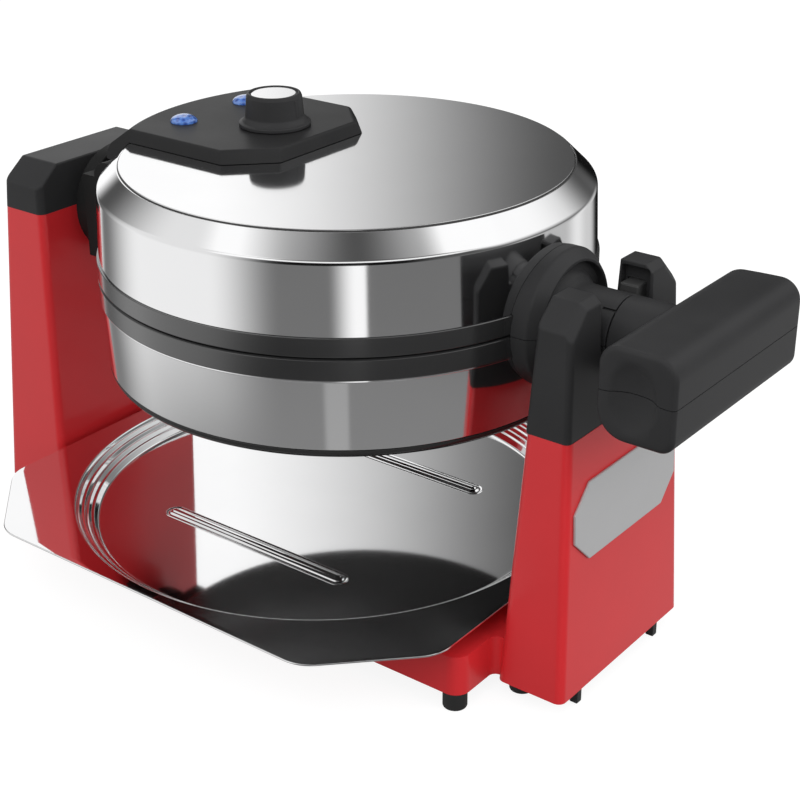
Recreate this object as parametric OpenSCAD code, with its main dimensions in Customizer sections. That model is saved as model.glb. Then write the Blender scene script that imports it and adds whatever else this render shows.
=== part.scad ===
// Rotating waffle maker: a round two-plate cooking head that opens at a hinge
// and turns half a turn between two towers, over a drip tray that slides out.
// Millimetres, +Z up, +X towards the handle, -Y towards the front of the tray.
// The origin is under the middle of the whole object, on the table.

/* [Base and towers] */
// Height of the turning axis above the table
axis_h = 156.5; // [154:0.5:170]
// Height of the rubber feet
foot_h = 8; // [7:0.1:12]
// Distance of the right tower's inner face from the tray's middle, at the bottom
right_in_low = 133.6; // [133:0.1:136]
// Distance of the right tower's inner face at the top
right_in_top = 143.4; // [142:0.1:145]
// Distance of the right tower's outer face at the bottom
right_out_low = 166; // [162:0.1:172]
// Distance of the right tower's outer face at the top
right_out_top = 158.5; // [157:0.1:162]
// Distance of the left tower's inner face from the tray's middle, at the bottom
left_in_low = 134.8; // [134:0.1:136]
// Distance of the left tower's inner face at the top
left_in_top = 137.1; // [136.5:0.1:139]
// Distance of the left tower's outer face at the bottom
left_out_low = 176.3; // [170:0.1:182]
// Distance of the left tower's outer face at the top
left_out_top = 161.9; // [160:0.1:168]
// Depth of both towers at the bottom
depth_low = 97.6; // [94:0.2:110]
// Depth of the right tower at the top
right_depth_top = 81.2; // [80:0.2:90]
// Depth of the left tower at the top
left_depth_top = 86; // [80:0.2:90]
// Height of the tower tops above the turning axis
top_rise = 22.7; // [21:0.1:27]
// Radius of a tower's upright edges
edge_r = 3.7; // [2:0.1:6]
// Wall of the moulded shells
wall = 2.6; // [2:0.1:3]
// Length of the low platform between its rounded ends
platform_l = 259.4; // [250:0.2:264]
// Width of the low platform from front to back
platform_w = 140; // [120:1:144]
// Radius of the platform's corners
platform_r = 7; // [3:0.5:8]
// Radius of the hollow corner between the platform's end and a tower
fillet_r = 3.5; // [2:0.5:4]
// Radius of the platform's round feet
foot_r = 5.3; // [4.5:0.1:6]
// Radius of the round feet under the towers
tower_foot_r = 5.4; // [5:0.1:6]
// Thickness of the bottom covers
cover_t = 2.4; // [2:0.1:3]

/* [Drip tray] */
// Height of the tray's rim above the table
tray_rim = 37.5; // [36:0.5:39]
// Length of the tray
tray_len = 259.2; // [256:0.1:264.4]
// Depth of the tray from front to back
tray_w = 248; // [242:1:256]
// Cut of the tray's corners along each side
tray_cut = 48; // [30:1:50]
// Radius of the tray's rounded corners
tray_r = 18; // [6:0.5:20]
// Radius of the round basin
basin_r = 118.5; // [110:0.5:119]
// Depth of the basin
basin_depth = 9.5; // [8:0.5:10]
// Width of the stepped rings round the basin
basin_step_w = 12.5; // [9:0.5:16]
// Thickness of the tray's sheet
sheet = 0.8; // [0.6:0.1:1]
// Length of the two raised beads
bead_len = 107; // [80:1:120]
// Distance of a bead from the middle
bead_y = 52; // [40:1:60]
// Width of a bead
bead_w = 6.2; // [4:0.2:8]

/* [Head] */
// How far the head sits towards the handle from the middle of the towers
head_shift = 17.3; // [16:0.1:18]
// Diameter of the upper steel shell at its shoulder
head_d = 216.2; // [212:0.2:217]
// How far the lower steel shell stands out past the upper one
lower_over = 0.1; // [0.1:0.1:0.6]
// How far each steel wall draws in from the bands to its far edge
draft = 1.3; // [0.5:0.1:1.6]
// How far the black bands stand out past the steel walls
band_over = 0.8; // [0.5:0.1:1.2]
// Width of the bevelled shoulder round the top disc
shoulder_w = 10.1; // [7.5:0.1:12]
// Height of the top disc over the parting plane
upper_h = 48.4; // [46:0.2:49]
// Height of the upper shell's straight wall over the parting plane
shoulder_h = 38.7; // [36:0.1:40]
// Height of the upper band
band_up = 8.7; // [8:0.1:11]
// Height of the lower band
band_down = 9.3; // [8:0.1:11]
// Depth of the lower half
lower_h = 44.5; // [42:0.5:46]
// Step at the edge of the top disc
disc_step = 0.8; // [0.4:0.1:1]
// Thickness of the steel shells
shell_t = 1; // [0.8:0.1:1.2]
// Half of the gap between the two halves
part_gap = 0.15; // [0.15:0.01:0.2]
// Height of the black pan under the lower shell, with its rounded edge
pan_h = 4; // [3:0.5:6]

/* [Cooking plates] */
// Diameter of the waffle
waffle_d = 178; // [170:1:184]
// Depth of each plate's cavity
cavity_h = 12.5; // [11:0.5:13]
// Height of the grid's posts
post_h = 8.5; // [7:0.5:8.5]
// Width of a post
post_w = 11; // [9:0.5:12]
// Spacing of the posts
post_pitch = 19; // [18:0.5:21]
// Thickness of a plate's floor
plate_t = 4; // [3:0.5:5]
// Radius of the heating element's ring
heater_r = 62; // [50:1:70]
// Radius of the heating element's tube
heater_tube_r = 3.3; // [3:0.1:4]

/* [Hinge and hub] */
// Distance of the hinge pin from the upper steel shell
pin_out = 15.9; // [15:0.1:17]
// Height of the hinge pin over the parting plane
pin_z = 20; // [19:0.5:21]
// Radius of the hinge pin
pin_r = 3; // [2.5:0.1:3.5]
// Radius of the hinge's barrel
barrel_r = 8; // [7:0.1:8]
// Width of the lid's knuckle
knuckle_w = 40; // [34:1:42]
// Width over the two ears of the bracket
bracket_w = 56; // [54:1:58]
// Radius of the hub's disc
hub_disc_r = 27.5; // [26:0.5:28]
// Thickness of the hub's disc
hub_disc_t = 7.5; // [6:0.5:8]
// Distance of the hub's disc past the hinge pin
hub_disc_out = 16; // [15.5:0.5:16.5]
// Radius of the hub's hollow shaft
hub_r = 16; // [14:0.5:16]
// Radius of the wire way through the hub
hub_bore_r = 11; // [9:0.5:12]
// Outer radius of the hub's bush
bush_r = 19; // [18:0.5:20]
// Running clearance of a turning fit
fit_gap = 0.06; // [0.03:0.01:0.08]

/* [Collar and handle] */
// Radius of the collar's flange
flange_r = 29.6; // [28:0.1:31]
// How far the flange stands out from the upper steel shell
flange_out = 5.4; // [4.5:0.1:6]
// Outer radius of the collar's rim
boss_r = 25.6; // [23:0.1:26]
// How far the flange draws in to the rim
boss_out = 4.6; // [3:0.1:5]
// Radius of the flare where the neck leaves the collar
flare_r = 20.5; // [18:0.1:21]
// Radius of the neck in the fork
neck_r = 16.2; // [15.5:0.1:17]
// Radius of the handle's spigot in the neck
spigot_r = 12; // [10:0.5:13]
// Half width of the fork's slot
slot_r = 19.5; // [19:0.1:21]
// Depth of the black fork under the turning axis
fork_drop = 32; // [31:0.5:36]
// Clear width for the fingers between the tower and the handle
finger_gap = 16.8; // [14:0.2:20]
// Thickness of the handle
handle_t = 33; // [30:0.5:36]
// Length of the handle
handle_len = 102; // [90:1:110]
// Height of the handle
handle_h = 38; // [34.5:0.5:40]
// Radius of the handle's edges
handle_r = 9; // [4:0.5:10]
// Radius of the hollow in each end of the handle
dimple_r = 10.5; // [8:0.5:12]
// Depth of the hollow in each end of the handle
dimple_h = 1.5; // [1:0.1:2]
// Length of a detent block
detent_l = 12.5; // [11:0.5:13]
// Width of a detent block
detent_w = 8.5; // [7:0.5:9]
// Height of a detent block
detent_h = 12.5; // [8:0.5:14]
// Travel of a detent block into its prong
detent_give = 1.5; // [1:0.1:2]

/* [Control panel] */
// Half width of the panel at its foot
panel_half = 45.5; // [42:0.5:50]
// Distance of the panel's end from the head's centre
panel_end = 13.9; // [10:0.1:18]
// Cut of the panel's corners
panel_cut = 17.9; // [12:0.1:22]
// Height of the panel over the top disc
panel_t = 5.7; // [4.5:0.1:7]
// How far the panel's sides draw in towards its top
panel_inset = 2; // [1:0.1:4]
// Reach of the panel's top towards the hinge
panel_reach = 98.5; // [96:0.5:99]
// How far the panel hangs out past the upper steel shell
panel_out = 3.9; // [3:0.1:4.7]
// Distance of the knob from the head's centre
knob_x = 41.2; // [39:0.1:44]
// Radius of the knob's skirt
skirt_r = 16; // [14.5:0.1:17]
// Radius of the knob's body
knob_r = 12.9; // [11.5:0.1:13.5]
// Height of the knob
knob_h = 14.5; // [12:0.1:15]
// Radius of the knob's bright cap
cap_r = 10.3; // [8:0.1:11]
// Radius of the knob's shaft
shaft_r = 3; // [2.5:0.1:3.5]
// Radius of a lamp lens
lens_r = 6; // [5:0.1:7]
// Distance of a lens from the head's centre
lens_x = 77.6; // [76:0.1:82]
// Distance of a lens from the middle line
lens_y = 20.3; // [18:0.1:24]

/* [Badge plate] */
// Length of the blank plate
badge_l = 80; // [60:1:82]
// Height of the blank plate
badge_h = 35; // [30:1:40]
// Thickness of the blank plate
badge_t = 1.2; // [0.8:0.1:1.6]

/* [Hidden] */
$fn = 96;

red = "#C8474B";
black = "#333333";
steel = "#D8D8D8";
cast = "#555558";
rubber = "#1E1E1E";
blue = "#3A6FC4";
nylon = "#E8E4D8";

// Small lengths: a hull slice, a cut's overlap, a seat and a sliding gap
slice = 0.02;
over = 1;
seat = 0.3;
far = 400;
hull_fn = 32;

tower_top = axis_h + top_rise;
head_r = head_d / 2;
lower_r = head_r + lower_over;
band_r = lower_r + draft + band_over;
disc_r = head_r - shoulder_w;
pin_x = head_r + pin_out;
hub_disc_x = pin_x + hub_disc_out;
flange_x = head_r + flange_out;
boss_x = flange_x + boss_out;

// A tower's outline at a height, which runs straight from bottom to top
function along(z, low, top) = low + (top - low) * (z - foot_h) / (tower_top - foot_h);
function inner(z, left = false) =
  left ? along(z, left_in_low, left_in_top) : along(z, right_in_low, right_in_top);
function outer(z, left = false) =
  left ? along(z, left_out_low, left_out_top) : along(z, right_out_low, right_out_top);
function half_depth(z, left = false) = along(z, depth_low, left ? left_depth_top : right_depth_top) / 2;

handle_x = outer(axis_h) - head_shift + finger_gap;
handle_end = handle_x + handle_t;
mid_x = (head_shift + handle_end - left_out_low) / 2;

module in_base() translate([-mid_x, 0, 0]) children();
module in_head() translate([head_shift - mid_x, 0, axis_h]) children();
module rod_x(x0, x1, r, y = 0, z = 0) translate([x0, y, z]) rotate([0, 90, 0]) cylinder(r = r, h = x1 - x0);
module rod_y(y0, y1, r, x = 0, z = 0) translate([x, y0, z]) rotate([-90, 0, 0]) cylinder(r = r, h = y1 - y0);
module ring(r_out, r_in, h) difference() {
  cylinder(r = r_out, h = h);
  translate([0, 0, -over]) cylinder(r = r_in, h = h + 2 * over);
}
module box(x0, x1, y0, y1, z0, z1) translate([x0, y0, z0]) cube([x1 - x0, y1 - y0, z1 - z0]);
module both_sides() {
  children();
  mirror([0, 1, 0]) children();
}
module round_rect(l, w, r) {
  square([l - 2 * r, w], center = true);
  square([l, w - 2 * r], center = true);
  for (x = [-1, 1], y = [-1, 1])
    translate([x * (l / 2 - r), y * (w / 2 - r)]) circle(r = r);
}
module above_parting() intersection() {
  children();
  box(-far, far, -far, far, part_gap, far);
}
module below_parting() intersection() {
  children();
  box(-far, far, -far, far, -far, -part_gap);
}

// A stretch of a tower between two heights, drawn in by an inset, on the right-hand side
module tower_form(z0, z1, inset = 0, left = false) hull()
  for (z = [z0, z1 - slice], s = [-1, 1])
    for (x = [inner(z, left) + edge_r + inset, outer(z, left) - edge_r - inset])
      translate([x, s * (half_depth(z, left) - edge_r - inset), z])
        cylinder(r = edge_r, h = slice, $fn = hull_fn);
module both_towers(z0, z1, inset = 0) {
  tower_form(z0, z1, inset);
  mirror([1, 0, 0]) tower_form(z0, z1, inset, true);
}

// Height of the platform that carries the tray
floor_h = tray_rim - basin_depth;
platform_top = floor_h - sheet - seat;
screw_r = 2;
screw_head_r = 4;
screw_head_h = 2;
post_x = 100;
post_y = 48;
cover_post_r = 5;

platform_half = platform_l / 2;
bridge_half = min(left_in_low, right_in_low) + edge_r;
bridge_y = depth_low / 2 - edge_r;
foot_in = 6;

// The platform reaches the towers over a narrower bridge, with hollow corners beside it
module platform_outline(inset = 0) {
  round_rect(2 * (platform_half - inset), platform_w - 2 * inset, max(platform_r - inset, 1));
  square([2 * (bridge_half - inset), 2 * (bridge_y - inset)], center = true);
  if (inset == 0) for (x = [0, 1], y = [0, 1]) mirror([x, 0, 0]) mirror([0, y, 0])
    translate([platform_half, bridge_y]) difference() {
      translate([-slice, -slice]) square(fillet_r);
      translate([fillet_r, fillet_r]) circle(r = fillet_r);
    }
}

module corner_feet(r, z0, z1) for (x = [-1, 1], y = [-1, 1])
  translate([x * (platform_half - foot_in), y * (platform_w / 2 - foot_r), z0]) cylinder(r = r, h = z1 - z0);

module cover_points() for (x = [-1, 1], y = [-1, 1])
  translate([x * post_x, y * post_y, 0]) children();

module base_shell() color(red) in_base() difference() {
  union() {
    difference() {
      translate([0, 0, foot_h]) linear_extrude(platform_top - foot_h) platform_outline();
      translate([0, 0, foot_h - over])
        linear_extrude(platform_top - foot_h - wall + over) platform_outline(wall);
    }
    intersection() {
      corner_feet(foot_r, foot_h, platform_top - slice);
      translate([0, 0, foot_h]) linear_extrude(platform_top - foot_h) platform_outline();
    }
    translate([0, 0, foot_h + cover_t])
      cover_points() cylinder(r = cover_post_r, h = platform_top - foot_h - cover_t - slice);
  }
  cover_points() translate([0, 0, foot_h]) cylinder(r = screw_r, h = platform_top - foot_h - wall);
  both_towers(foot_h - over, platform_top + wall);
}

// Clear width inside the left tower round the hub
hub_room_r = 24;
bush_l = 11;
hub_in = inner(axis_h, true) + bush_l;

module gland_place() translate([-(inner(axis_h, true) + outer(axis_h, true)) / 2,
  half_depth(gland_h, true) - wall, gland_h]) rotate([-90, 0, 0]) children();
gland_h = 46;
gland_r = 6.5;
gland_flange_r = 9;
gland_out = 6;
gland_slope = 0.4;
cord_r = 3.4;

module tower_left() color(red) in_base() mirror([1, 0, 0]) difference() {
  tower_form(foot_h, axis_h, 0, true);
  difference() {
    tower_form(foot_h - over, axis_h + over, wall, true);
    box(0, far, -far, far, axis_h - wall, axis_h + 2 * over);
  }
  rod_x(inner(axis_h, true) - 3 * over, hub_in + over, bush_r, 0, axis_h);
  rod_x(inner(axis_h, true) + wall, outer(axis_h, true) - wall, hub_room_r, 0, axis_h);
  mirror([1, 0, 0]) gland_place() translate([0, 0, -over]) cylinder(r = gland_r, h = wall + 3 * over);
}

module tower_right() color(red) in_base() difference() {
  tower_form(foot_h, axis_h - fork_drop);
  tower_form(foot_h - over, axis_h - fork_drop - wall, wall);
}

// Slope at the front and back of a tower's top
chamfer_low = 12.5;
chamfer_high = 31.1;
function chamfer_slope(left) =
  (top_rise - chamfer_low) / (half_depth(axis_h + chamfer_low, left) - chamfer_high);

module tower_chamfer(left) {
  low_y = half_depth(axis_h + chamfer_low, left) + 3 * over;
  both_sides() rotate([90, 0, 90]) linear_extrude(far) polygon([[chamfer_high, top_rise],
    [low_y, chamfer_low - 3 * over * chamfer_slope(left)], [low_y + far, chamfer_low],
    [low_y + far, 2 * top_rise], [chamfer_high, 2 * top_rise]]);
}

module cap_left() color(black) in_base() mirror([1, 0, 0]) difference() {
  tower_form(axis_h, tower_top, 0, true);
  translate([0, 0, axis_h]) tower_chamfer(true);
  difference() {
    box(0, inner(axis_h, true) + pocket_depth, -pocket_half, pocket_half,
      axis_h - over, tower_top - pocket_roof);
    rod_x(0, far, hub_room_r, 0, axis_h);
  }
  rod_x(inner(axis_h, true) - 2 * over, hub_in + over, bush_r, 0, axis_h);
  intersection() {
    rod_x(inner(axis_h, true) + wall + pocket_roof, outer(axis_h, true) - wall, hub_room_r, 0, axis_h);
    box(0, far, -far, far, 0, tower_top - wall);
  }
}
pocket_depth = 6;
pocket_half = 33;
pocket_roof = 4;

// The fork's slot wall has a shallow recess on each side, with a guide for the detent
recess_depth = 4;
recess_rim = 1;
recess_z1 = 21;
recess_x0 = inner(axis_h + recess_z1) - head_shift + recess_rim;
recess_x1 = outer(axis_h + recess_z1) - head_shift - recess_rim;
detent_x = recess_x0 + detent_w / 2 + over;
detent_z0 = 1.4;
slide_gap = 0.3;

module detent_block(side, grow = 0, back = 0)
  box(detent_x - detent_w / 2 - grow, detent_x + detent_w / 2 + grow,
    side > 0 ? neck_r + slide_gap - grow : -neck_r - slide_gap - detent_l - grow - back,
    side > 0 ? neck_r + slide_gap + detent_l + grow + back : -neck_r - slide_gap + grow,
    detent_z0 - grow, detent_z0 + detent_h + grow);

prong_bevel = 3;
prong_x = outer(tower_top) - head_shift - prong_bevel;
prong_slope = atan(chamfer_slope(false));

module fork_right() color(black) difference() {
  in_base() tower_form(axis_h - fork_drop, tower_top);
  in_head() {
    rod_x(boss_x - far, far, slot_r);
    box(0, far, -slot_r, slot_r, 0, 2 * top_rise);
    tower_chamfer(false);
    translate([prong_x, 0, top_rise]) rotate([0, 45, 0]) box(0, far, -far, far, 0, far);
    both_sides() translate([prong_x, chamfer_high, top_rise]) rotate([-prong_slope, 0, 0])
      rotate([0, 45, 0]) box(0, far, -far, far, 0, far);
    both_sides() box(recess_x0, recess_x1, slot_r - over, slot_r + recess_depth, -over, recess_z1);
    detent_block(1, slide_gap, detent_give);
    detent_block(-1, slide_gap, detent_give);
  }
}

module saddle() color(nylon) in_head() difference() {
  rod_x(recess_x0, recess_x1, slot_r);
  rod_x(recess_x0 - over, recess_x1 + over, neck_r + slide_gap);
  box(0, far, -far, far, -2 * over, far);
}

// The blank plate follows the slope of the right tower's outer face
badge_z = 86.4;
badge_cut = 11;
badge_tilt = atan((right_out_low - right_out_top) / (tower_top - foot_h));

module badge_plate() color(steel) in_base()
  translate([outer(badge_z), 0, badge_z]) rotate([0, -badge_tilt, 0]) rotate([90, 0, 90])
    linear_extrude(badge_t) intersection() {
      square([badge_l, badge_h], center = true);
      rotate(45) square((badge_l + badge_h) / sqrt(2) - sqrt(2) * badge_cut, center = true);
    }

vent_n = 9;
vent_w = 4;
vent_l = 60;
vent_pitch = 10;

module bottom_cover() color(black) in_base() difference() {
  translate([0, 0, foot_h]) linear_extrude(cover_t) platform_outline(wall + slide_gap / 2);
  corner_feet(foot_r + slide_gap / 2, foot_h - over, foot_h + cover_t + over);
  cover_points() translate([0, 0, foot_h - over]) {
    cylinder(r = screw_r + slide_gap, h = cover_t + 2 * over);
    cylinder(r = screw_head_r + slide_gap, h = over + screw_head_h);
  }
  for (i = [0 : vent_n - 1])
    translate([(i - (vent_n - 1) / 2) * vent_pitch - vent_w / 2, -vent_l / 2, foot_h - over])
      cube([vent_w, vent_l, cover_t + 2 * over]);
  both_towers(foot_h - over, platform_top + wall, -slide_gap);
}

// Blade feet stand under the towers' outer walls
blade_t = 3.8;
blade_l = 3.6;
blade_y = 31.8;
tower_foot_y = 37.5;
blade_in = 1.4;
foot_set = tower_foot_r + seat;

module tower_cover_left() color(black) in_base() mirror([1, 0, 0])
  tower_form(foot_h, foot_h + cover_t, wall, true);
module tower_cover_right() color(black) in_base() tower_form(foot_h, foot_h + cover_t, wall);

module blade_pair(left) both_sides() box(outer(foot_h, left) - blade_in - blade_t,
  outer(foot_h, left) - blade_in, blade_y - blade_l / 2, blade_y + blade_l / 2, 0, foot_h);
module blade_feet() color(black) in_base() {
  blade_pair(false);
  mirror([1, 0, 0]) blade_pair(true);
}

module platform_feet() color(rubber) in_base() corner_feet(foot_r, 0, foot_h);

module tower_feet() color(rubber) in_base() for (x = [inner(foot_h) + foot_set, -inner(foot_h, true) - foot_set])
  both_sides() translate([x, tower_foot_y, 0]) cylinder(r = tower_foot_r, h = foot_h);

module cover_screws() color(steel) in_base() cover_points() translate([0, 0, foot_h]) {
  cylinder(r = screw_head_r, h = screw_head_h);
  cylinder(r = screw_r, h = platform_top - foot_h - wall - over);
}

module hub_bush() color(nylon) in_base() mirror([1, 0, 0]) translate([0, 0, axis_h]) difference() {
  rod_x(hub_gap_x, hub_in, bush_r);
  rod_x(hub_gap_x - over, hub_in + over, hub_r);
}
hub_gap = 1.6;
hub_gap_x = inner(axis_h, true) - hub_gap;

module cord_gland() color(rubber) in_base() gland_place() difference() {
  union() {
    translate([0, 0, -wall]) cylinder(r = gland_r, h = 2 * wall + gland_out);
    translate([0, 0, wall + gland_slope]) cylinder(r = gland_flange_r, h = gland_out - gland_slope);
    translate([0, 0, -wall]) cylinder(r = gland_flange_r, h = wall - gland_slope);
  }
  translate([0, 0, -wall - over]) cylinder(r = cord_r, h = far);
}

// Distances in the head from its centre, towards the hub
hub_far = hub_gap_x + head_shift - seat;
clip_x = hub_in + head_shift + seat;
clip_t = 2;
clip_r = 19;
clip_groove = 1.5;

module hub() color(black) in_head() mirror([1, 0, 0]) difference() {
  union() {
    rod_x(hub_disc_x, hub_disc_x + hub_disc_t, hub_disc_r);
    rod_x(hub_disc_x + hub_disc_t, hub_far, bush_r + over);
    rod_x(hub_disc_x, clip_x + clip_t + over, hub_r - fit_gap);
  }
  rod_x(hub_disc_x - over, far, hub_bore_r);
  translate([clip_x, 0, 0]) rotate([0, 90, 0]) ring(hub_r + over, hub_r - clip_groove, clip_t);
}

module hub_clip() color(steel) in_head() mirror([1, 0, 0])
  translate([clip_x, 0, 0]) rotate([0, 90, 0]) ring(clip_r, hub_r - clip_groove, clip_t);

// The outside of the head as one solid of revolution, for what is set against it
module head_outside() {
  translate([0, 0, -lower_h]) cylinder(r = lower_r, h = pan_h + over);
  translate([0, 0, -pan_top]) cylinder(r1 = lower_r, r2 = lower_r + draft, h = pan_top - band_down);
  translate([0, 0, -band_down]) cylinder(r = band_r, h = band_down + band_up);
  rotate_extrude() polygon([[0, 0], [head_r + draft, 0], [head_r + draft, band_up], [head_r, shoulder_h],
    [disc_r + disc_step, upper_h - disc_step], [disc_r, upper_h - disc_step], [disc_r, upper_h], [0, upper_h]]);
}

bracket_low = 21;
bracket_top = 3;
web_x = pin_x + barrel_r + 2 * over;

module hinge_bracket() color(black) in_head() mirror([1, 0, 0]) difference() {
  union() {
    box(head_r - barrel_r, hub_disc_x, -bracket_w / 2, bracket_w / 2, -bracket_low, -bracket_top);
    box(web_x, hub_disc_x, -bracket_w / 2 + over, bracket_w / 2 - over, -bracket_top - over, pin_z - over);
    both_sides() {
      rod_y(knuckle_w / 2 + seat, bracket_w / 2, barrel_r, pin_x, pin_z);
      box(pin_x - barrel_r, hub_disc_x, knuckle_w / 2 + seat, bracket_w / 2, -bracket_top - over, pin_z);
    }
  }
  head_outside();
  rod_x(web_x - 3 * over, far, hub_bore_r);
  rod_y(-bracket_w, bracket_w, pin_r, pin_x, pin_z);
}

module hinge_pin() color(steel) in_head() mirror([1, 0, 0])
  rod_y(-bracket_w / 2 - over, bracket_w / 2 + over, pin_r, pin_x, pin_z);

module lid_knuckle() color(black) in_head() mirror([1, 0, 0]) difference() {
  union() {
    rod_y(-knuckle_w / 2, knuckle_w / 2, barrel_r, pin_x, pin_z);
    box(head_r - 2 * barrel_r, pin_x, -knuckle_w / 2, knuckle_w / 2, pin_z - barrel_r, pin_z + barrel_r);
  }
  head_outside();
  rod_y(-knuckle_w, knuckle_w, pin_r + fit_gap, pin_x, pin_z);
}

// The lower half has a steel wall on a black pan, whose rounded edge is an arc of points
round_n = 8;
pan_top = lower_h - pan_h;
pan_lip = 5;
pan_in = lower_r - shell_t - seat;

module lower_shell() color(steel) in_head() difference() {
  rotate_extrude() polygon([[lower_r, -pan_top], [lower_r + draft, -band_down],
    [lower_r + draft - shell_t, -band_down], [lower_r - shell_t, -pan_top]]);
  lower_collar_holes();
}

module lower_pan() color(black) in_head() rotate_extrude() polygon(concat(
  [[0, -lower_h + wall], [0, -lower_h]],
  [for (i = [0 : round_n]) let (a = -90 + 90 * i / round_n)
    [lower_r - pan_h + pan_h * cos(a), -pan_top + pan_h * sin(a)]],
  [[pan_in, -pan_top], [pan_in, -pan_top + pan_lip], [pan_in - wall, -pan_top + pan_lip],
    [pan_in - wall, -lower_h + wall]]));

band_wall = 4;
band_in = head_r + over - band_wall;
module lower_band() color(black) in_head() difference() {
  translate([0, 0, -band_down]) ring(band_r, band_in, band_down - part_gap);
  rod_x(0, far, spigot_r);
}

module upper_band() color(black) in_head() difference() {
  translate([0, 0, part_gap]) ring(band_r, band_in, band_up - part_gap);
  rod_x(0, far, spigot_r);
}

module upper_shell() color(steel) in_head() difference() {
  rotate_extrude() polygon([[head_r + draft, band_up], [head_r, shoulder_h], [disc_r + disc_step, upper_h - disc_step],
    [disc_r, upper_h - disc_step], [disc_r, upper_h], [0, upper_h], [0, upper_h - shell_t],
    [disc_r - shell_t, upper_h - shell_t], [disc_r - shell_t, upper_h - disc_step - shell_t],
    [disc_r, upper_h - disc_step - shell_t], [head_r - shell_t, shoulder_h - shell_t / 2],
    [head_r + draft - shell_t, band_up]]);
  translate([-knob_x, 0, 0]) cylinder(r = bushing_r, h = far);
  lens_points() cylinder(r = lens_r - over, h = far);
  upper_collar_holes();
}

// A cooking plate that faces up, with its rim at the parting plane
plate_edge = 1;
post_margin = 3;
post_n = 4;
post_reach = waffle_d / 2 - post_margin;
ridge_w = 4;
function in_reach(i, j) =
  norm([abs(i) * post_pitch + post_w / 2, abs(j) * post_pitch + post_w / 2]) < post_reach;

module plate() {
  difference() {
    translate([0, 0, -cavity_h - plate_t]) cylinder(r = band_in - plate_edge, h = cavity_h + plate_t - plate_edge);
    translate([0, 0, -cavity_h]) cylinder(r = waffle_d / 2, h = cavity_h);
    translate([0, 0, -cavity_h - plate_t - over])
      ring(heater_r + heater_tube_r, heater_r - heater_tube_r, over + heater_tube_r / 2);
  }
  translate([0, 0, -plate_edge - plate_edge]) ring(band_in, band_in - 2 * plate_edge, plate_edge);
  for (i = [-post_n : post_n], j = [-post_n : post_n]) if (i != 0 && j != 0 && in_reach(i, j))
    translate([i * post_pitch - post_w / 2, j * post_pitch - post_w / 2, -cavity_h - slice])
      cube([post_w, post_w, post_h]);
  for (a = [0, 90]) rotate([0, 0, a])
    translate([-waffle_d / 2 - slice, -ridge_w / 2, -cavity_h - slice])
      cube([waffle_d + 2 * slice, ridge_w, post_h]);
}

module heater() translate([0, 0, -cavity_h - plate_t + heater_tube_r / 2 - heater_tube_r])
  rotate_extrude() translate([heater_r, 0]) circle(r = heater_tube_r);

module lower_plate() color(cast) in_head() plate();
module upper_plate() color(cast) in_head() mirror([0, 0, 1]) plate();
module lower_heater() color(steel) in_head() heater();
module upper_heater() color(steel) in_head() mirror([0, 0, 1]) heater();

// The collar and neck as one turned piece, cut in half at the parting plane
collar_screw_y = 20;
collar_screw_z = 15;
collar_screw_x = 88;

rim_w = 1.2;
rim_depth = 3.2;
flare_l = 7;
neck_end = outer(axis_h) - head_shift - seat;

module collar() difference() {
  rotate([0, 90, 0]) rotate_extrude() polygon([[0, head_r - barrel_r], [flange_r, head_r - barrel_r],
    [flange_r, flange_x], [boss_r, boss_x], [boss_r - rim_w, boss_x], [boss_r - rim_w, boss_x - rim_depth],
    [flare_r, boss_x - rim_depth], [neck_r, boss_x - rim_depth + flare_l], [neck_r, neck_end], [0, neck_end]]);
  head_outside();
  rod_x(0, far, spigot_r);
}

module collar_points(s) for (y = [-1, 1])
  translate([collar_screw_x, y * collar_screw_y, s * collar_screw_z]) children();
module lower_collar_holes() collar_points(-1) rotate([0, 90, 0]) cylinder(r = screw_r, h = far);
module upper_collar_holes() collar_points(1) rotate([0, 90, 0]) cylinder(r = screw_r, h = far);

module lower_collar() color(black) in_head() difference() {
  below_parting() collar();
  collar_points(-1) rotate([0, 90, 0]) cylinder(r = screw_r, h = flange_x - collar_screw_x - over);
}
module upper_collar() color(black) in_head() difference() {
  above_parting() collar();
  collar_points(1) rotate([0, 90, 0]) cylinder(r = screw_r, h = flange_x - collar_screw_x - over);
}

// Each screw's head bears on the inside of the round shell
wall_in = lower_r - shell_t;
screw_wall = wall_in + draft * (pan_top - collar_screw_z - screw_head_r) / (pan_top - band_down);
function wall_x(r) = sqrt(pow(r, 2) - pow(collar_screw_y + screw_head_r - over, 2));
module collar_screws(s, r) for (y = [-1, 1])
  translate([wall_x(r) - screw_head_h, y * collar_screw_y, s * collar_screw_z]) rotate([0, 90, 0]) {
    cylinder(r = screw_head_r - over, h = screw_head_h - seat);
    cylinder(r = screw_r, h = flange_x - wall_x(r) + screw_head_h - 2 * over);
  }
module lower_collar_screws() color(steel) in_head() collar_screws(-1, screw_wall);
module upper_collar_screws() color(steel) in_head() collar_screws(1, screw_wall - lower_over);

// The handle is a bar across the axis, on a stem and a spigot
dimple_ball = (pow(dimple_r, 2) + pow(dimple_h, 2)) / 2 / dimple_h;
spigot_in = lower_r + draft + seat;

module handle_bar() difference() {
  translate([handle_x + handle_t / 2, 0, 0]) intersection() {
    rotate([90, 0, 0]) linear_extrude(handle_len, center = true) round_rect(handle_t, handle_h, handle_r);
    rotate([90, 0, 90]) linear_extrude(handle_t, center = true) round_rect(handle_len, handle_h, handle_r);
    linear_extrude(handle_h, center = true) round_rect(handle_t, handle_len, handle_r);
  }
  both_sides() translate([handle_x + handle_t / 2, handle_len / 2 - dimple_h + dimple_ball, 0])
    sphere(r = dimple_ball);
}

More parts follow.
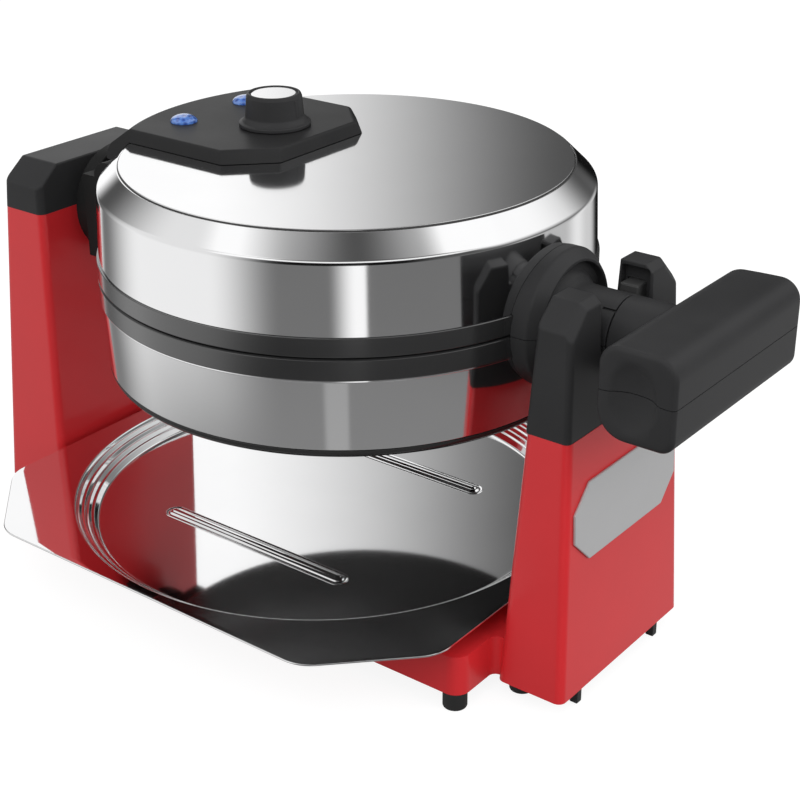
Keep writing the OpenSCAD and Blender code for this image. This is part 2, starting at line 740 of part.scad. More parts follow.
module handle() {
  handle_bar();
  rod_x(neck_end + seat, handle_x + handle_r, neck_r);
  rod_x(spigot_in, neck_end + over, spigot_r);
}
module lower_handle() color(black) in_head() below_parting() handle();
module upper_handle() color(black) in_head() above_parting() handle();

// The control panel stands on the disc, and its far end hangs over the shoulder
panel_top_z = upper_h + panel_t;
lip_r = head_r + panel_out;
lip_z = shoulder_h - 0.2;
lip_h = 2.5;
knee_r = head_r + over;
knee_z = upper_h - 2.2;
bushing_r = 4.5;
module lens_points() for (y = [-1, 1]) translate([-lens_x, y * lens_y, 0]) children();

module panel_outline(inset = 0) polygon([
  [-lip_r - over, -panel_half + inset], [-panel_end - panel_cut - inset, -panel_half + inset],
  [-panel_end - inset, -panel_half + inset + panel_cut], [-panel_end - inset, panel_half - inset - panel_cut],
  [-panel_end - panel_cut - inset, panel_half - inset], [-lip_r - over, panel_half - inset]]);

module panel() color(black) in_head() difference() {
  intersection() {
    union() {
      translate([0, 0, lip_z]) linear_extrude(upper_h - lip_z) panel_outline();
      hull() {
        translate([0, 0, upper_h - slice]) linear_extrude(slice) panel_outline();
        translate([0, 0, panel_top_z - slice]) linear_extrude(slice) panel_outline(panel_inset);
      }
    }
    rotate_extrude() polygon([[0, lip_z], [lip_r, lip_z], [lip_r, lip_z + lip_h], [knee_r, knee_z],
      [panel_reach, panel_top_z], [0, panel_top_z]]);
  }
  head_outside();
  translate([-knob_x, 0, 0]) cylinder(r = bushing_r, h = far);
  lens_points() cylinder(r = lens_r - over, h = far);
  translate([0, 0, panel_top_z - lens_seat]) lens_points() cylinder(r = lens_r, h = far);
}
lens_seat = 1;
lens_dome = 3.2;

module lens() {
  ball = (pow(lens_r, 2) + pow(lens_dome, 2)) / 2 / lens_dome;
  intersection() {
    translate([0, 0, panel_top_z + lens_dome - ball]) sphere(r = ball);
    translate([0, 0, panel_top_z]) cylinder(r = lens_r, h = far);
  }
  translate([0, 0, panel_top_z - lens_seat]) cylinder(r = lens_r, h = lens_seat + slice);
  translate([0, 0, board_z]) cylinder(r = lens_r - over, h = panel_top_z - lens_seat - board_z + slice);
}
module power_lens() color(blue) in_head() translate([-lens_x, -lens_y, 0]) lens();
module ready_lens() color(blue) in_head() translate([-lens_x, lens_y, 0]) lens();

// Inside the lid: the lamps' board and the heat control under the knob
board_drop = 4;
board_z = upper_h - board_drop;
board_t = 1.6;
board_l = 16;
control_r = 11;
control_h = 12;

module lamp_board() color("green") in_head()
  box(-lens_x - board_l / 2, -lens_x + board_l / 2, -lens_y - board_l / 2, lens_y + board_l / 2,
    board_z - board_t, board_z);

module control_body() color(cast) in_head() translate([-knob_x, 0, 0]) difference() {
  union() {
    translate([0, 0, upper_h - shell_t - control_h]) cylinder(r = control_r, h = control_h);
    translate([0, 0, upper_h - shell_t - slice]) cylinder(r = bushing_r, h = panel_top_z - upper_h + shell_t);
  }
  translate([0, 0, upper_h - control_h]) cylinder(r = shaft_r + fit_gap, h = far);
}

knob_z = panel_top_z + seat;
skirt_h = 2.6;
skirt_edge = 1;
knob_taper = 0.9;
cap_h = 1.4;
shaft_up = 9;

module control_shaft() color(steel) in_head() translate([-knob_x, 0, 0])
  translate([0, 0, upper_h - control_h + seat])
    cylinder(r = shaft_r, h = knob_z + shaft_up - upper_h + control_h - seat);

module knob() color(black) in_head() translate([-knob_x, 0, knob_z]) difference() {
  union() {
    cylinder(r = skirt_r, h = skirt_edge);
    translate([0, 0, skirt_edge]) cylinder(r1 = skirt_r, r2 = knob_r, h = skirt_h);
    cylinder(r1 = knob_r, r2 = knob_r - knob_taper, h = knob_h - cap_h / 2);
  }
  translate([0, 0, knob_h - cap_h]) cylinder(r = cap_r, h = cap_h);
  translate([0, 0, -over]) cylinder(r = shaft_r, h = shaft_up + over);
}

module knob_cap() color(steel) in_head()
  translate([-knob_x, 0, knob_z + knob_h - cap_h]) cylinder(r = cap_r, h = cap_h);

// The tray is a sheet with cut corners, sunk in steps to a round basin
module tray_outline() hull() for (x = [-1, 1], y = [-1, 1]) {
  translate([x * (tray_len / 2 - tray_r), y * (tray_w / 2 - tray_cut), 0]) circle(r = tray_r, $fn = hull_fn);
  translate([x * (tray_len / 2 - tray_cut), y * (tray_w / 2 - tray_r), 0]) circle(r = tray_r, $fn = hull_fn);
}
steps = 3;
module basin_profile() {
  drop = basin_depth / steps;
  run = basin_step_w / steps;
  for (i = [0 : steps - 1])
    polygon([[basin_r - i * run + sheet, -i * drop], [basin_r - i * run, -i * drop],
      [basin_r - i * run - run / 2, -(i + 1) * drop], [basin_r - (i + 1) * run, -(i + 1) * drop],
      [basin_r - (i + 1) * run, -(i + 1) * drop - sheet], [basin_r - i * run - run / 2 + sheet, -(i + 1) * drop - sheet],
      [basin_r - i * run + sheet, -i * drop - sheet]]);
}
bead_top = 1.8;
bead_ball = (pow(bead_w / 2, 2) + pow(bead_top, 2)) / 2 / bead_top;

module bead() translate([0, 0, bead_top - bead_ball]) {
  rod_x(-bead_len / 2 + bead_w / 2, bead_len / 2 - bead_w / 2, bead_ball);
  for (s = [-1, 1]) translate([s * (bead_len / 2 - bead_w / 2), 0, 0]) sphere(r = bead_ball);
}

module drip_tray() color(steel) in_base() translate([0, 0, tray_rim]) union() {
  difference() {
    translate([0, 0, -sheet]) linear_extrude(sheet) tray_outline();
    translate([0, 0, -sheet - over]) cylinder(r = basin_r, h = sheet + 2 * over);
  }
  rotate_extrude() basin_profile();
  translate([0, 0, -basin_depth - sheet]) cylinder(r = basin_r - basin_step_w + slice, h = sheet);
  intersection() {
    both_sides() translate([0, bead_y, -basin_depth]) bead();
    translate([0, 0, -basin_depth - sheet / 2]) cylinder(r = basin_r, h = basin_depth);
  }
}

module detent_front() color(nylon) in_head() detent_block(-1);
module detent_rear() color(nylon) in_head() detent_block(1);

base_shell();
tower_left();
tower_right();
cap_left();
fork_right();
saddle();
badge_plate();
bottom_cover();
tower_cover_left();
tower_cover_right();
blade_feet();
platform_feet();
tower_feet();
cover_screws();
hub_bush();
cord_gland();
hub();
hub_clip();
hinge_bracket();
hinge_pin();
lower_shell();
lower_pan();
lower_band();
lower_plate();
lower_heater();
lower_collar();
lower_handle();
lower_collar_screws();
upper_shell();
upper_band();
upper_plate();
upper_heater();
lid_knuckle();
upper_collar();
upper_handle();
upper_collar_screws();
panel();
power_lens();
ready_lens();
lamp_board();
control_body();
knob();
knob_cap();
control_shaft();
drip_tray();
detent_front();
detent_rear();
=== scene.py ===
import math

import bmesh
import bpy
from mathutils import Matrix, Vector


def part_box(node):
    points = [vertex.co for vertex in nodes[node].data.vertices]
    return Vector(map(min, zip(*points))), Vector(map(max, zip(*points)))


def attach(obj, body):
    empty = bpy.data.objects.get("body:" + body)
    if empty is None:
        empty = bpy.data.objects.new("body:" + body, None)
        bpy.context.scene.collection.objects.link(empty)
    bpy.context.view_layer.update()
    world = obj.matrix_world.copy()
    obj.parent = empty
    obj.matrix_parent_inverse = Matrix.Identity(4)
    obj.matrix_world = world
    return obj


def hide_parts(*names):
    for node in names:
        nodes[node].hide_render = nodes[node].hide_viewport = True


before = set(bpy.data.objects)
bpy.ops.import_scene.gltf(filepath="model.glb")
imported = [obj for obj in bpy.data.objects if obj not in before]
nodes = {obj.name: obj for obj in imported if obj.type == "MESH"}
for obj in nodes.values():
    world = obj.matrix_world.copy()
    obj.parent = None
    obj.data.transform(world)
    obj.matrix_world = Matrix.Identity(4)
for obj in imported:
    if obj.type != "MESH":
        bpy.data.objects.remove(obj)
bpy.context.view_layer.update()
MM = 0.001

# Half the gap between the head's two halves
HALF_GAP = 0.15
low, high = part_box("upper_band")
HEAD = Vector(((low.x + high.x) / 2, (low.y + high.y) / 2, low.z - HALF_GAP * MM))
# The head's centre stands this far to the right of the base's middle
SHIFT = 17.3
BASE = Vector((HEAD.x - SHIFT * MM, 0, 0))


def spot(x, y, z, origin=HEAD):
    """A point in millimetres, as a vector in metres."""
    return origin + Vector((x, y, z)) * MM


# Towers
AXIS_HEIGHT, TOWER_HEIGHT = 148.5, 171.2


def along(z, bottom, top):
    """A tower's size at a height over the turning axis, which runs straight from bottom to top."""
    return bottom + (top - bottom) * (z + AXIS_HEIGHT) / TOWER_HEIGHT


def right_inner(z):
    return along(z, 133.6, 143.4) - SHIFT


def right_outer(z):
    return along(z, 166, 158.5) - SHIFT


def right_half(z):
    return along(z, 97.6, 81.2) / 2


def left_inner(z):
    return along(z, 134.8, 137.1) + SHIFT


def left_outer(z):
    return along(z, 176.3, 161.9) + SHIFT


def left_half(z):
    return along(z, 97.6, 86) / 2


# Node trees
WHITE = (1, 1, 1, 1)


def node(tree, kind, inputs=None, **props):
    """A new node: its properties first, then its inputs, each linked to a socket or given a value."""
    made = tree.nodes.new(kind)
    for key, value in props.items():
        setattr(made, key, value)
    for key, value in (inputs or {}).items():
        if isinstance(value, bpy.types.NodeSocket):
            tree.links.new(value, made.inputs[key])
        else:
            made.inputs[key].default_value = value
    return made


def maths(tree, operation, *values):
    return node(tree, "ShaderNodeMath", dict(enumerate(values)), operation=operation).outputs[0]


def spread(tree, value, a, b, low, high, smooth=False):
    """Maps a value from the range a to b onto the range low to high."""
    inputs = {"Value": value, "From Min": a, "From Max": b, "To Min": low, "To Max": high}
    kind = "SMOOTHSTEP" if smooth else "LINEAR"
    return node(tree, "ShaderNodeMapRange", inputs, interpolation_type=kind).outputs[0]


def noise(tree, where, scale, detail, roughness=0.55):
    inputs = {"Vector": where, "Scale": scale, "Detail": detail, "Roughness": roughness}
    return node(tree, "ShaderNodeTexNoise", inputs).outputs[0]


def blend(tree, factor, first, second):
    """A colour between two others."""
    inputs = {"Factor": factor, "A": first, "B": second}
    return node(tree, "ShaderNodeMix", inputs, data_type="RGBA").outputs["Result"]


def emboss(tree, shader, height, distance, strength):
    """Lets a height bump the surface."""
    inputs = {"Height": height, "Distance": distance, "Strength": strength}
    tree.links.new(node(tree, "ShaderNodeBump", inputs).outputs[0], shader.inputs["Normal"])


def settle(shader, values):
    for key, value in values.items():
        shader.inputs[key].default_value = value


def new_material(name):
    """A new material, its tree, its shader, and where a point of the surface is on the object."""
    made = bpy.data.materials.new(name)
    made.use_nodes = True
    tree = made.node_tree
    where = node(tree, "ShaderNodeTexCoord").outputs["Object"]
    return made, tree, tree.nodes["Principled BSDF"], where


# Materials
CLOUD_SCALE, SCRATCH_SCALE, BRUSH_SCALE = 22, 6, 40
SCRATCH_STRETCH = (30, 260, 90)


def finish(name, colour, rough, vary=0.05, rough_vary=0.04, grain=900, bump=0.00002, metallic=0.0,
           coat=0.0, coat_rough=0.1, brushed=None, scuffs=0.0, specular=0.5):
    """A moulded or metal finish: mottled colour, uneven gloss, fine grain and light scuffs."""
    made, tree, shader, where = new_material(name)
    cloudy = noise(tree, where, CLOUD_SCALE, 4)
    fine = noise(tree, where, grain, 2)
    dark = tuple(c * (1 - vary) for c in colour) + (1,)
    light = tuple(min(1, c * (1 + vary)) for c in colour) + (1,)
    shown = blend(tree, spread(tree, cloudy, 0.3, 0.7, 0, 1), dark, light)
    stretch = {"Vector": where, "Scale": brushed or SCRATCH_STRETCH}
    scratch_at = node(tree, "ShaderNodeMapping", stretch).outputs[0]
    wear = spread(tree, noise(tree, scratch_at, SCRATCH_SCALE, 5, 0.7), 0.6, 0.74, 0, 1)
    if scuffs:
        pale = tuple(min(1, c * 1.5 + 0.03) for c in colour) + (1,)
        shown = blend(tree, maths(tree, "MULTIPLY", wear, scuffs), shown, pale)
    tree.links.new(shown, shader.inputs["Base Color"])
    uneven = spread(tree, cloudy, 0.25, 0.75, rough - rough_vary, rough + rough_vary)
    uneven = maths(tree, "ADD", uneven, maths(tree, "MULTIPLY", wear, rough_vary))
    tree.links.new(maths(tree, "MAXIMUM", uneven, 0.02), shader.inputs["Roughness"])
    height = noise(tree, scratch_at, BRUSH_SCALE, 3) if brushed else fine
    emboss(tree, shader, height, bump, 0.6)
    settle(shader, {"Metallic": metallic, "Specular IOR Level": specular,
                    "Coat Weight": coat, "Coat Roughness": coat_rough})
    return made


def lens_finish():
    """Blue plastic, pressed in small cells."""
    made, tree, shader, where = new_material("lamp_lens")
    inputs = {"Vector": where, "Scale": 420.0}
    cells = node(tree, "ShaderNodeTexVoronoi", inputs, feature="F1").outputs["Distance"]
    mixed = spread(tree, cells, 0.1, 0.6, 0, 1, True)
    shown = blend(tree, mixed, (0.02, 0.06, 0.30, 1), (0.09, 0.22, 0.62, 1))
    tree.links.new(shown, shader.inputs["Base Color"])
    tree.links.new(spread(tree, cells, 0, 0.7, 0.08, 0.16), shader.inputs["Roughness"])
    emboss(tree, shader, cells, 0.0008, 0.7)
    settle(shader, {"Coat Weight": 1.0, "Coat Roughness": 0.03, "Specular IOR Level": 0.8})
    return made


RED = finish("red_gloss", (0.71, 0.028, 0.034), 0.3, vary=0.03, rough_vary=0.01, grain=700,
             bump=0.000006, coat=0.12, coat_rough=0.12, specular=0.35)
BLACK = finish("black_satin", (0.033, 0.033, 0.034), 0.42, vary=0.12, rough_vary=0.05, grain=1500,
               bump=0.00003, scuffs=0.1, specular=0.13)
BAND = finish("black_band", (0.024, 0.024, 0.0245), 0.2, vary=0.1, rough_vary=0.03, grain=1500,
              bump=0.000004, coat=1.0, coat_rough=0.08, specular=0.8)
PANEL = finish("panel_satin", (0.024, 0.024, 0.0245), 0.42, vary=0.12, rough_vary=0.05, grain=1500,
               bump=0.00003, specular=0.1)
DARK = finish("black_matt", (0.012, 0.012, 0.012), 0.55, vary=0.15, grain=1500, bump=0.00003,
              specular=0.15)
MIRROR = finish("mirror_steel", (0.93, 0.93, 0.935), 0.075, vary=0.012, rough_vary=0.012, grain=500,
                bump=0.000002, metallic=1)
TRAY_STEEL = finish("tray_steel", (0.90, 0.90, 0.905), 0.05, vary=0.015, rough_vary=0.012, grain=400,
                    bump=0.000002, metallic=1)
SATIN = finish("satin_steel", (0.60, 0.60, 0.605), 0.36, vary=0.03, grain=900, bump=0.00001,
               metallic=0.5, brushed=(900, 30, 30))
PLAIN = finish("plain_steel", (0.55, 0.55, 0.56), 0.36, vary=0.06, grain=800, bump=0.00002, metallic=1)
GRID = finish("grid_casting", (0.035, 0.034, 0.034), 0.48, vary=0.2, rough_vary=0.06, grain=1200,
              bump=0.00006, scuffs=0.2)
RUBBER = finish("rubber", (0.022, 0.022, 0.022), 0.7, vary=0.15, grain=1800, bump=0.00005, scuffs=0.2)
NYLON = finish("nylon", (0.05, 0.05, 0.05), 0.5, vary=0.1, grain=1200, bump=0.00002)
BOARD = finish("circuit_board", (0.02, 0.16, 0.06), 0.5, vary=0.2, grain=600, bump=0.00002)
KNOB_METAL = finish("knob_metal", (0.95, 0.95, 0.955), 0.09, vary=0.01, rough_vary=0.01, grain=600,
                    bump=0.000002, metallic=1)
LENS = lens_finish()
PAN = finish("pan_gloss", (0.02, 0.02, 0.02), 0.2, vary=0.2, grain=300, bump=0.00001)


# Mesh helpers
def link(name, verts, faces, material):
    mesh = bpy.data.meshes.new(name)
    mesh.from_pydata([tuple(v) for v in verts], [], faces)
    mesh.validate()
    mesh.materials.append(material)
    made = bpy.data.objects.new(name, mesh)
    bpy.context.scene.collection.objects.link(made)
    return made


def outward(piece):
    """Turns every face to the outside."""
    work = bmesh.new()
    work.from_mesh(piece.data)
    bmesh.ops.recalc_face_normals(work, faces=work.faces)
    work.to_mesh(piece.data)
    work.free()


def weigh_normals(piece):
    weighted = piece.modifiers.new("normals", "WEIGHTED_NORMAL")
    weighted.keep_sharp = True
    weighted.weight = 100


def place(piece, body, replaced=(), angle=40):
    """Shades a finished piece, gives it its body and hides the CAD nodes it stands in for."""
    outward(piece)
    mesh = piece.data
    mesh.polygons.foreach_set("use_smooth", [True] * len(mesh.polygons))
    mesh.set_sharp_from_angle(angle=math.radians(angle))
    weigh_normals(piece)
    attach(piece, body)
    if replaced:
        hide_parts(*replaced)


def rounded(points, closed=True, step=11):
    """A profile with its corners rounded: each point is (x, y) or (x, y, radius)."""
    out = []
    count = len(points)
    for i, point in enumerate(points):
        radius = point[2] if len(point) > 2 else 0
        here = Vector(point[:2])
        if not radius or (not closed and i in (0, count - 1)):
            out.append(tuple(here))
            continue
        before = (Vector(points[i - 1][:2]) - here).normalized()
        after = (Vector(points[(i + 1) % count][:2]) - here).normalized()
        half = before.angle(after) / 2
        reach = radius / math.tan(half)
        centre = here + (before + after).normalized() * (radius / math.sin(half))
        first, last = here + before * reach - centre, here + after * reach - centre
        turn = math.pi - 2 * half
        parts = max(2, math.ceil(math.degrees(turn) / step))
        side = 1 if first.x * last.y - first.y * last.x > 0 else -1
        for k in range(parts + 1):
            a = side * turn * k / parts
            out.append((centre.x + first.x * math.cos(a) - first.y * math.sin(a),
                        centre.y + first.x * math.sin(a) + first.y * math.cos(a)))
    return out


def lathe(name, profile, material, origin=HEAD, axis="z", parts=256):
    """Turns a closed profile of (radius, height) points about the Z or X axis through origin."""
    verts, index = [], []
    for r, h in profile:
        if r < 1e-6:
            verts.append((r, h, 0))
            index.append([len(verts) - 1] * parts)
            continue
        index.append(list(range(len(verts), len(verts) + parts)))
        verts += [(r, h, math.radians(360 * k / parts)) for k in range(parts)]
    faces = []
    for i in range(len(profile)):
        a, b = index[i], index[(i + 1) % len(profile)]
        for k in range(parts):
            n = (k + 1) % parts
            face = [a[k], a[n], b[n], b[k]]
            face = [v for j, v in enumerate(face) if v not in face[:j]]
            if len(face) > 2:
                faces.append(face)
    placed = []
    for r, h, a in verts:
        c, s = r * math.cos(a), r * math.sin(a)
        placed.append(spot(c, s, h, origin) if axis == "z" else spot(h, c, s, origin))
    return link(name, placed, faces, material)


def drill(radius, start, end, origin=HEAD, axis="z", parts=48):
    """A round cutter along an axis."""
    profile = [(0, start), (radius, start), (radius, end), (0, end)]
    return lathe("cutter", profile, BLACK, origin, axis, parts)


def loft(name, rings, material):
    """Joins rings of equal count, each a list of vectors in metres, and closes both ends."""
    count = len(rings[0])
    verts = [v for ring in rings for v in ring]
    faces = []
    for i in range(len(rings) - 1):
        for k in range(count):
            n = (k + 1) % count
            faces.append((i * count + k, i * count + n, (i + 1) * count + n, (i + 1) * count + k))
    faces += [list(range(count))[::-1], list(range((len(rings) - 1) * count, len(rings) * count))]
    return link(name, verts, faces, material)


def cut(piece, cutter, operation="DIFFERENCE"):
    """Takes the cutter out of the piece, or keeps what they share, and removes the cutter."""
    outward(piece)
    outward(cutter)
    step = piece.modifiers.new("cut", "BOOLEAN")
    step.operation = operation
    step.solver = "EXACT"
    step.object = cutter
    graph = bpy.context.evaluated_depsgraph_get()
    mesh = bpy.data.meshes.new_from_object(piece.evaluated_get(graph))
    piece.modifiers.clear()
    old = piece.data
    piece.data = mesh
    bpy.data.meshes.remove(old)
    bpy.data.objects.remove(cutter)


def six_faced(name, corners):
    """A black body with six faces: four corners at one end, then the four at the other."""
    faces = [(0, 3, 2, 1), (4, 5, 6, 7), (0, 1, 5, 4), (1, 2, 6, 5), (2, 3, 7, 6), (3, 0, 4, 7)]
    return link(name, corners, faces, BLACK)


def block(x0, x1, y0, y1, z0, z1):
    ends = ((x0, y0), (x1, y0), (x1, y1), (x0, y1))
    return six_faced("cutter", [spot(x, y, z) for z in (z0, z1) for x, y in ends])


def soften(piece, width, parts=3, angle=30):
    """Rounds the sharp edges of a clean mesh."""
    step = piece.modifiers.new("soften", "BEVEL")
    step.width = width * MM
    step.segments = parts
    step.limit_method = "ANGLE"
    step.angle_limit = math.radians(angle)
    step.harden_normals = False


def bevel(piece, width, parts, pick):
    """Rounds the edges that pick chooses by their two ends."""
    work = bmesh.new()
    work.from_mesh(piece.data)
    sharp = math.radians(25)
    edges = []
    for edge in work.edges:
        if len(edge.link_faces) == 2 and edge.calc_face_angle(0) > sharp:
            if pick(*[(v.co - HEAD) / MM for v in edge.verts]):
                edges.append(edge)
    bmesh.ops.bevel(work, geom=edges, offset=width * MM, segments=parts, profile=0.5,
                    affect="EDGES", clamp_overlap=True)
    work.to_mesh(piece.data)
    work.free()


def tower_block(name, outline, inner, outer, side):
    """A block on a tower: an outline seen along the turning axis, between the tower's sloping faces."""
    count = len(outline)
    verts = [spot(side * face(z), y, z) for face in (inner, outer) for y, z in outline]
    faces = [(i, (i + 1) % count, count + (i + 1) % count, count + i) for i in range(count)]
    piece = link(name, verts, faces + [list(range(count)), list(range(count, 2 * count))], BLACK)
    outward(piece)
    return piece


def corners_of(half, face=None):
    """Picks the upright edges at a tower's corners, on one of its faces or on both."""
    def pick(a, b):
        if abs(a.z - b.z) <= 10:
            return False
        at_corner = all(abs(abs(v.y) - half(v.z)) < 0.1 for v in (a, b))
        return at_corner and (face is None or all(abs(v.x - face(v.z)) < 0.1 for v in (a, b)))
    return pick


def keep(name, material, width):
    """A CAD node that stays: its flat faces are joined, its edges are rounded and it gets its finish."""
    piece = nodes[name]
    slots = piece.data.materials
    if not len(slots):
        slots.append(material)
    for i in range(len(slots)):
        slots[i] = material
    weld = piece.modifiers.new("weld", "WELD")
    weld.merge_threshold = 0.003 * MM
    flat = piece.modifiers.new("flat", "DECIMATE")
    flat.decimate_type = "DISSOLVE"
    flat.angle_limit = math.radians(0.6)
    if width:
        soften(piece, width, 2, 32)
    weigh_normals(piece)


# Head: upper shell with a notch round its top disc's step and a dark ring in it that paints in the step's
# shade, lower shell, pan and bands
LENS_X, LENS_Y, KNOB_X = -77.6, 20.3, -41.2
HOLES = ((KNOB_X, 0, 4.5), (LENS_X, LENS_Y, 5), (LENS_X, -LENS_Y, 5))
upper = rounded([
    (109.4, 8.8), (108.1, 38.7, 3.2), (98.95, 47.6, 0.25), (98.4, 47.6, 0.1), (98.4, 46.9, 0.1),
    (98.0, 46.9, 0.1), (98.0, 48.4, 0.28), (0, 48.4), (0, 47.4), (97, 47.4), (97, 46.4), (98.2, 46.3),
    (107.1, 38.2), (108.4, 8.8)], step=9)
upper_shell = lathe("upper_shell_steel", upper, MIRROR)
for x, y, radius in HOLES:
    cut(upper_shell, drill(radius, 40, 60, spot(x, y, 0)))
place(upper_shell, "lid", ["upper_shell"])
# Painted shade: a dark ring over the riser of the top disc's step, standing in for the step's shadow and dark
# reflection
painted_step_shade = rounded([(98.01, 46.92), (98.39, 46.92), (98.3, 47.6, 0.1), (98.14, 48.0, 0.06), (98.01, 48.08)])
place(lathe("disc_painted_step_shade", painted_step_shade, GRID), "lid")

lower = rounded([
    (109.95, -9.35), (110.0, -9.95, 0.25), (109.45, -10.2, 0.2), (108.2, -40.3, 0.4), (107.2, -40.3, 0.4),
    (108.45, -9.35)], step=9)
place(lathe("lower_shell_steel", lower, MIRROR), "head", ["lower_shell"])
pan = rounded([
    (0, -44.5), (108.2, -44.5, 3.8), (108.2, -40.5, 0.3), (106.95, -40.5), (106.95, -35.5, 0.4),
    (104.6, -35.5, 0.4), (104.4, -41.9, 0.4), (0, -41.9)], step=9)
place(lathe("lower_pan_cover", pan, PAN), "head", ["lower_pan"])

for name, far, side, body, gone in (("upper_band_ring", 8.65, 1, "lid", "upper_band"),
                                    ("lower_band_ring", -9.25, -1, "head", "lower_band")):
    ring = lathe(name, rounded([
        (105.1, far), (110.3, far, 0.35), (110.3, side * 0.8, 0.4), (109.6, side * 0.35, 0.25),
        (109.2, side * HALF_GAP), (105.1, side * HALF_GAP)]), BAND)
    cut(ring, drill(12.1, 100, 120, axis="x"))
    place(ring, body, [gone])

# Collar and neck, in two halves, each cut to the shell and band that it meets
collar = rounded([
    (12.05, 99.6), (29.6, 99.6), (29.6, 113.5, 2.4), (25.6, 118.1, 0.7), (24.4, 118.1, 0.5),
    (23.9, 115.0, 0.4), (20.5, 114.9, 0.4), (18.0, 117.4, 3), (16.6, 120.2, 6), (16.2, 124),
    (16.2, 141.6, 0.25), (12.05, 141.6)], step=10)
UP_ROOM = [(0, -10), (110.4, -10), (110.4, 8.75), (109.5, 8.85), (108.2, 39.2), (108.2, 60), (0, 60)]
LOW_ROOM = [(0, -60), (108.3, -60), (108.3, -40.4), (109.55, -10.3), (110.1, -10), (110.1, -9.35),
            (110.4, -9.3), (110.4, 10), (0, 10)]
# The short groove along the neck, as (radius, degrees round the axis)
SHORT_GROOVE = ((15.2, 124.2), (17.0, 124.2), (17.0, 128.2), (15.2, 128.2))
for name, z0, z1, room, body, gone in (
        ("upper_collar_half", HALF_GAP, 60, UP_ROOM, "lid", "upper_collar"),
        ("lower_collar_half", -60, -HALF_GAP, LOW_ROOM, "head", "lower_collar")):
    half = lathe(name, collar, BLACK, axis="x", parts=160)
    cut(half, lathe("cutter", room, BLACK))
    cut(half, block(90, 160, -60, 60, z0, z1), "INTERSECT")
    if body == "lid":
        turned = [(r, math.radians(a)) for r, a in SHORT_GROOVE]
        cut(half, six_faced("cutter", [
            spot(x, r * math.cos(a), r * math.sin(a)) for x in (136, 143) for r, a in turned]))
    soften(half, 0.3, 2, 60)
    place(half, body, [gone])

# Black fork on the right tower: RISE is its top, and its shoulders slope from (half, SLOPE_LOW)
# to (SLOPE_HIGH, RISE). The neck lies in a round slot of radius SLOT.
RISE, SLOPE_LOW, SLOPE_HIGH, SLOT, FORK_FOOT = 22.7, 12.5, 31.1, 19.5, -32


def prong_top(a, b):
    """Picks the edges round a prong's top on the outer face."""
    if min(a.z, b.z) <= SLOPE_LOW - 0.1 or abs(a.y - b.y) <= 1:
        return False
    return all(abs(v.x - right_outer(v.z)) < 0.05 and abs(v.y) > SLOT - 0.05 for v in (a, b))


turns = [math.radians(a) for a in range(180, -1, -4)]
slot_arc = [(-SLOT * math.cos(a), -SLOT * math.sin(a)) for a in turns]
foot_half, slope_half = right_half(FORK_FOOT), right_half(SLOPE_LOW)
fork_line = [(-foot_half, FORK_FOOT), (foot_half, FORK_FOOT), (slope_half, SLOPE_LOW), (SLOPE_HIGH, RISE),
             (SLOT, RISE), *slot_arc, (-SLOT, RISE), (-SLOPE_HIGH, RISE), (-slope_half, SLOPE_LOW)]
fork = tower_block("fork_block", fork_line, right_inner, right_outer, 1)
bevel(fork, 3.2, 1, prong_top)
for face, radius in ((right_inner, 2.4), (right_outer, 2.7)):
    bevel(fork, radius, 6, corners_of(right_half, face))
bevel(fork, 0.7, 3, lambda a, b: max(a.z, b.z) > FORK_FOOT + 0.2)
# A rounded recess in each prong, then the detent's guide behind it
for y0, y1 in ((18, 23.5), (-23.5, -18)):
    recess = block(127.0, 140.3, y0, y1, -1, 21)
    bevel(recess, 1.5, 4, lambda a, b: min(a.z, b.z) > 20 and abs(a.y - b.y) > 1)
    cut(fork, recess)
for y0, y1 in ((18, 30.8), (-30.8, -18)):
    cut(fork, block(127.7, 136.8, y0, y1, 1.1, 14.2))
place(fork, "base", ["fork_right"])

# Black cap on the left tower, with a bore for the hub
foot_half, slope_half = left_half(0), left_half(SLOPE_LOW)
cap_line = [(-foot_half, 0), (foot_half, 0), (slope_half, SLOPE_LOW), (SLOPE_HIGH, RISE),
            (-SLOPE_HIGH, RISE), (-slope_half, SLOPE_LOW)]
cap_block = tower_block("cap_block", cap_line, left_inner, left_outer, -1)
bevel(cap_block, 3.7, 6, corners_of(left_half))
bevel(cap_block, 0.9, 3, lambda a, b: max(a.z, b.z) > 0.1)
cut(cap_block, drill(19, -175, -100, axis="x", parts=96))
place(cap_block, "base", ["cap_left"])

# Handle: a bar along Y, from BAR_X outwards, in two halves with a wavy split
BAR_X, BAR_WIDE, BAR_TALL, BAR_LONG = 159.02, 33.0, 38.0, 102.0
# Radius of the edge round its ends, and the half width over which a ring shrinks there
BAR_EDGE, BAR_CORE = 2.2, 17.5
# The hollow in each end: its depth, its half width and height, and how far it sits from the middle
DISH_DEEP, DISH_WIDE, DISH_TALL, DISH_OFF = 2.3, 10, 14, 1
DISH_RINGS = (0.02, 0.12, 0.22, 0.3, 0.36, 0.42, 0.47, 0.52, 0.57, 0.62, 0.68, 0.76, 0.86, 0.94)
# The far end is this much shorter on its inner side
FAR_CUT = 4.5


def bar_spot(x, z, y):
    """A point of the bar, from the middle of its section."""
    if y > 0:
        y -= FAR_CUT * ((BAR_WIDE / 2 - x) / BAR_WIDE) ** 2 * max(0, y / (BAR_LONG / 2)) ** 6
    return spot(BAR_X + BAR_WIDE / 2 + x, y, z)


def bar_outline():
    """The bar's rounded section, with points close together."""
    x, z = BAR_WIDE / 2, BAR_TALL / 2
    outline = rounded([(x, -z, 6), (x, z, 9.0), (-x, z, 8.5), (-x, -z, 12)], step=9)
    dense = []
    for i, (ax, az) in enumerate(outline):
        bx, bz = outline[(i + 1) % len(outline)]
        parts = max(1, round(math.dist((ax, az), (bx, bz)) / 2.6))
        dense += [(ax + (bx - ax) * k / parts, az + (bz - az) * k / parts) for k in range(parts)]
    return dense


